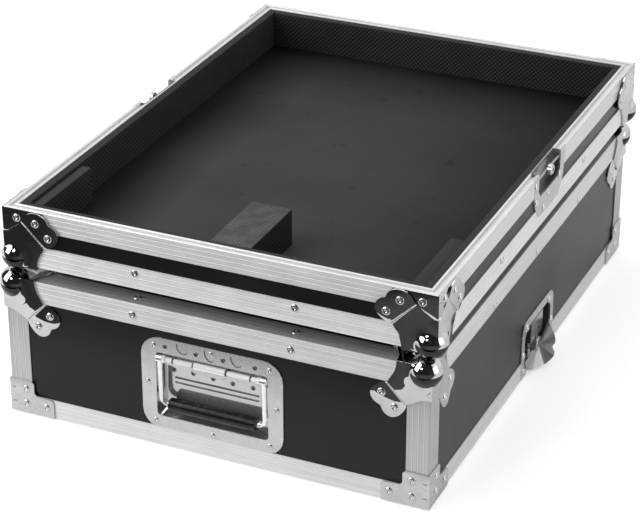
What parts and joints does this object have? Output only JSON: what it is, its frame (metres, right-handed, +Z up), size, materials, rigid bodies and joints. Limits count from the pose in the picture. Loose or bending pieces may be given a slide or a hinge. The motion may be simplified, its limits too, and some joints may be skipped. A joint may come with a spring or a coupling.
{
  "type": "mixer flight case",
  "caption": "Open flight case for a mixer: a foam-lined tray with ball corners rests on its upturned deep lid, which has a recessed handle and side latches.",
  "frame": {"origin": "on the floor, under the middle of the lid", "axes": "+Z up, -Y out of the front, which has the handle, +X to the right as seen from the front"},
  "size_m": [0.5434, 0.68, 0.2568],
  "materials": {
    "edging": "satin extruded aluminium",
    "chrome": "bright plated steel",
    "zinc_plate": "plated steel",
    "laminate": "black laminate on ply",
    "foam": "black foam",
    "rubber": "matt black rubber"
  },
  "bodies": {
    "lid": {"handle_dish": "chrome", "handle_hinge_rod": "chrome", "latch_dish_left": "zinc_plate", "latch_dish_right": "zinc_plate", "lid_ball_corner_bl": "chrome", "lid_ball_corner_br": "chrome", "lid_ball_corner_fl": "chrome", "lid_ball_corner_fr": "chrome", "lid_corner_edging_bl": "edging", "lid_corner_edging_br": "edging", "lid_corner_edging_fl": "edging", "lid_corner_edging_fr": "edging", "lid_lining": "foam", "lid_panel_back": "laminate", "lid_panel_front": "laminate", "lid_panel_left": "laminate", "lid_panel_right": "laminate", "lid_panel_top": "laminate", "lid_rim_brace_bl": "zinc_plate", "lid_rim_brace_br": "zinc_plate", "lid_rim_brace_fl": "zinc_plate", "lid_rim_brace_fr": "zinc_plate", "lid_rim_edging_back": "edging", "lid_rim_edging_front": "edging", "lid_rim_edging_left": "edging", "lid_rim_edging_right": "edging", "lid_top_edging": "edging"},
    "tray": {"keeper_dish_left": "zinc_plate", "keeper_dish_right": "zinc_plate", "tray_ball_corner_bl": "chrome", "tray_ball_corner_br": "chrome", "tray_ball_corner_fl": "chrome", "tray_ball_corner_fr": "chrome", "tray_block_centre": "foam", "tray_block_left": "foam", "tray_block_right": "foam", "tray_bottom_edging": "edging", "tray_floor_pad": "foam", "tray_lining_back": "foam", "tray_lining_front": "foam", "tray_lining_left": "foam", "tray_lining_right": "foam", "tray_panel_back": "laminate", "tray_panel_bottom": "laminate", "tray_panel_front": "laminate", "tray_panel_left": "laminate", "tray_panel_right": "laminate", "tray_rim_brace_bl": "chrome", "tray_rim_brace_br": "chrome", "tray_rim_brace_fl": "chrome", "tray_rim_brace_fr": "chrome", "tray_rim_edging": "edging"},
    "handle": {"handle_bail": "chrome", "handle_grip": "rubber"},
    "latch_turn_left": {"latch_turn_left": "chrome"},
    "latch_hook_left": {"latch_hook_left": "chrome"},
    "latch_turn_right": {"latch_turn_right": "chrome"},
    "latch_hook_right": {"latch_hook_right": "chrome"}
  },
  "joints": [
    {"name": "tray_lift", "type": "slide", "parent": "lid", "child": "tray", "axis": [0, 0, 1], "range_m": [0, 0.2]},
    {"name": "handle_swing", "type": "hinge", "parent": "lid", "child": "handle", "pos_m": [0, -0.3305, 0.111], "axis": [-1, 0, 0], "range_deg": [0, 90], "stiffness_Nm_per_rad": 0.15, "springref_deg": -11.46},
    {"name": "latch_hook_left", "type": "slide", "parent": "lid", "child": "latch_hook_left", "axis": [0, 0, -1], "range_m": [0, 0.014]},
    {"name": "latch_turn_left", "type": "hinge", "parent": "lid", "child": "latch_turn_left", "pos_m": [-0.25, 0.013, 0.023], "axis": [-1, 0, 0], "range_deg": [0, 180]},
    {"name": "latch_hook_right", "type": "slide", "parent": "lid", "child": "latch_hook_right", "axis": [0, 0, -1], "range_m": [0, 0.014]},
    {"name": "latch_turn_right", "type": "hinge", "parent": "lid", "child": "latch_turn_right", "pos_m": [0.25, 0.013, 0.023], "axis": [1, 0, 0], "range_deg": [0, 180]}
  ],
  "couplings": [
    {"joint": "latch_turn_left", "follows": "latch_hook_left", "rad_per_m": 224.39},
    {"joint": "latch_turn_right", "follows": "latch_hook_right", "rad_per_m": 224.39}
  ]
}
